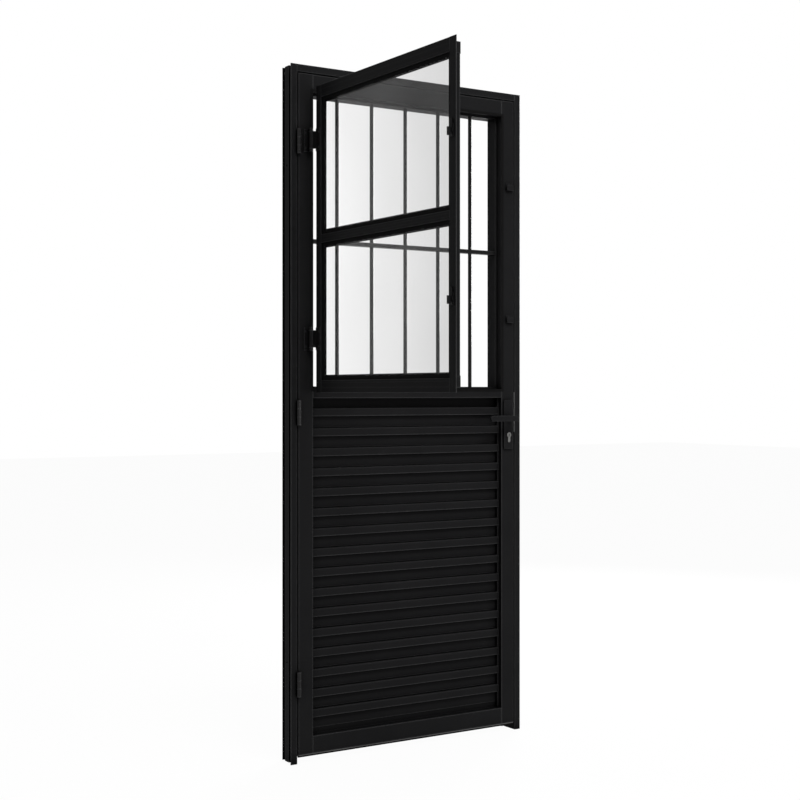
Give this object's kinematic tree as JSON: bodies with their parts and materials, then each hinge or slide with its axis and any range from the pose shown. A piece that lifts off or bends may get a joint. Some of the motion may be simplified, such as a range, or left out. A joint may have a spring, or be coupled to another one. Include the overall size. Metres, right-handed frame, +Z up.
{
  "type": "aluminium door",
  "caption": "Framed aluminium entrance door: hinged leaf with a louvred lower half, a barred window above it and a glazed sash that swings open over the bars.",
  "frame": {"origin": "on the floor, in the middle of the frame's width, at the frame's front (room side) face", "axes": "+X to the right seen from the room, +Y from the room through the door, +Z up"},
  "size_m": [0.86, 0.866, 2.1],
  "materials": {
    "black_paint": "satin black powder coat",
    "black_slats": "satin black powder coat",
    "black_fittings": "satin black paint",
    "black_plastic": "moulded black plastic",
    "seal_rubber": "matt black rubber",
    "glass": "clear glass",
    "screw_steel": "blackened steel",
    "bright_steel": "plain zinc-plated steel",
    "hinge_metal": "gloss black paint",
    "mill_aluminium": "bare mill finish",
    "cylinder_metal": "satin nickel"
  },
  "bodies": {
    "frame": {"hinge_jamb": "black_paint", "lock_jamb": "black_paint", "frame_head": "black_paint", "frame_seals": "seal_rubber", "frame_corner_screws": "screw_steel", "strike_plate": "bright_steel", "frame_fitting_screws": "screw_steel", "leaf_hinge_frame_flaps": "hinge_metal", "leaf_hinge_pins": "hinge_metal"},
    "leaf": {"hinge_stile": "black_paint", "lock_stile": "black_paint", "leaf_top_rail": "black_paint", "lock_rail": "black_paint", "leaf_bottom_rail": "black_paint", "sweep_carrier": "mill_aluminium", "bottom_seal": "seal_rubber", "louvre_channels": "black_slats", "louvre_slats": "black_slats", "louvre_top_strip": "black_slats", "louvre_sill_strip": "black_slats", "window_stop_stiles": "black_paint", "window_stop_rails": "black_paint", "grille_cross_bar": "black_paint", "grille_bars": "black_paint", "sash_seal": "seal_rubber", "leaf_hinge_leaf_flaps": "hinge_metal", "leaf_fitting_screws": "screw_steel", "lock_case": "bright_steel", "lock_faceplate": "bright_steel", "lock_cylinder": "cylinder_metal", "inner_escutcheon": "black_fittings", "outer_escutcheon": "black_fittings", "sash_keepers": "black_fittings", "sash_hinge_bases": "black_paint", "sash_hinge_pins": "hinge_metal"},
    "sash": {"sash_hinge_stile": "black_paint", "sash_free_stile": "black_paint", "sash_top_rail": "black_paint", "sash_mid_rail": "black_paint", "sash_bottom_rail": "black_paint", "sash_corner_caps": "black_plastic", "glass_upper": "glass", "glass_lower": "glass", "glazing_gaskets": "seal_rubber", "glazing_beads_upper": "black_paint", "glazing_beads_lower": "black_paint", "sash_hinge_flaps": "black_paint", "sash_fitting_screws": "screw_steel", "sash_latch_bases": "black_fittings"},
    "lever": {"inner_lever": "black_fittings", "outer_lever": "black_fittings", "lever_spindle": "bright_steel"},
    "latch_bolt": {"latch_bolt": "bright_steel"},
    "key_plug": {"cylinder_plug": "cylinder_metal"},
    "dead_bolt": {"dead_bolt": "bright_steel"},
    "sash_latch_upper": {"sash_latch_upper": "black_fittings"},
    "sash_latch_lower": {"sash_latch_lower": "black_fittings"}
  },
  "joints": [
    {"name": "leaf_swing", "type": "hinge", "parent": "frame", "child": "leaf", "pos_m": [-0.406, -0.0075, 0], "axis": [0, 0, -1], "range_deg": [0, 110]},
    {"name": "sash_swing", "type": "hinge", "parent": "leaf", "child": "sash", "pos_m": [-0.3715, -0.018, 0], "axis": [0, 0, 1], "range_deg": [-10, 90]},
    {"name": "lever_turn", "type": "hinge", "parent": "leaf", "child": "lever", "pos_m": [0.379, 0, 1.03], "axis": [0, -1, 0], "range_deg": [0, 45], "stiffness_Nm_per_rad": 1.2, "springref_deg": -20.05},
    {"name": "latch_slide", "type": "slide", "parent": "leaf", "child": "latch_bolt", "axis": [-1, 0, 0], "range_m": [0, 0.012]},
    {"name": "key_turn", "type": "hinge", "parent": "leaf", "child": "key_plug", "pos_m": [0.379, 0, 0.975], "axis": [0, 1, 0], "range_deg": [0, 360]},
    {"name": "dead_bolt_slide", "type": "slide", "parent": "leaf", "child": "dead_bolt", "axis": [1, 0, 0], "range_m": [0, 0.013]},
    {"name": "sash_latch_upper_turn", "type": "hinge", "parent": "sash", "child": "sash_latch_upper", "pos_m": [-0.3585, -0.73725, 1.7915], "axis": [1, 0, 0], "range_deg": [0, 90]},
    {"name": "sash_latch_lower_turn", "type": "hinge", "parent": "sash", "child": "sash_latch_lower", "pos_m": [-0.3585, -0.73725, 1.3565], "axis": [1, 0, 0], "range_deg": [0, 90]}
  ],
  "couplings": [
    {"joint": "latch_slide", "follows": "lever_turn", "m_per_rad": 0.015},
    {"joint": "key_turn", "follows": "dead_bolt_slide", "rad_per_m": 480}
  ]
}
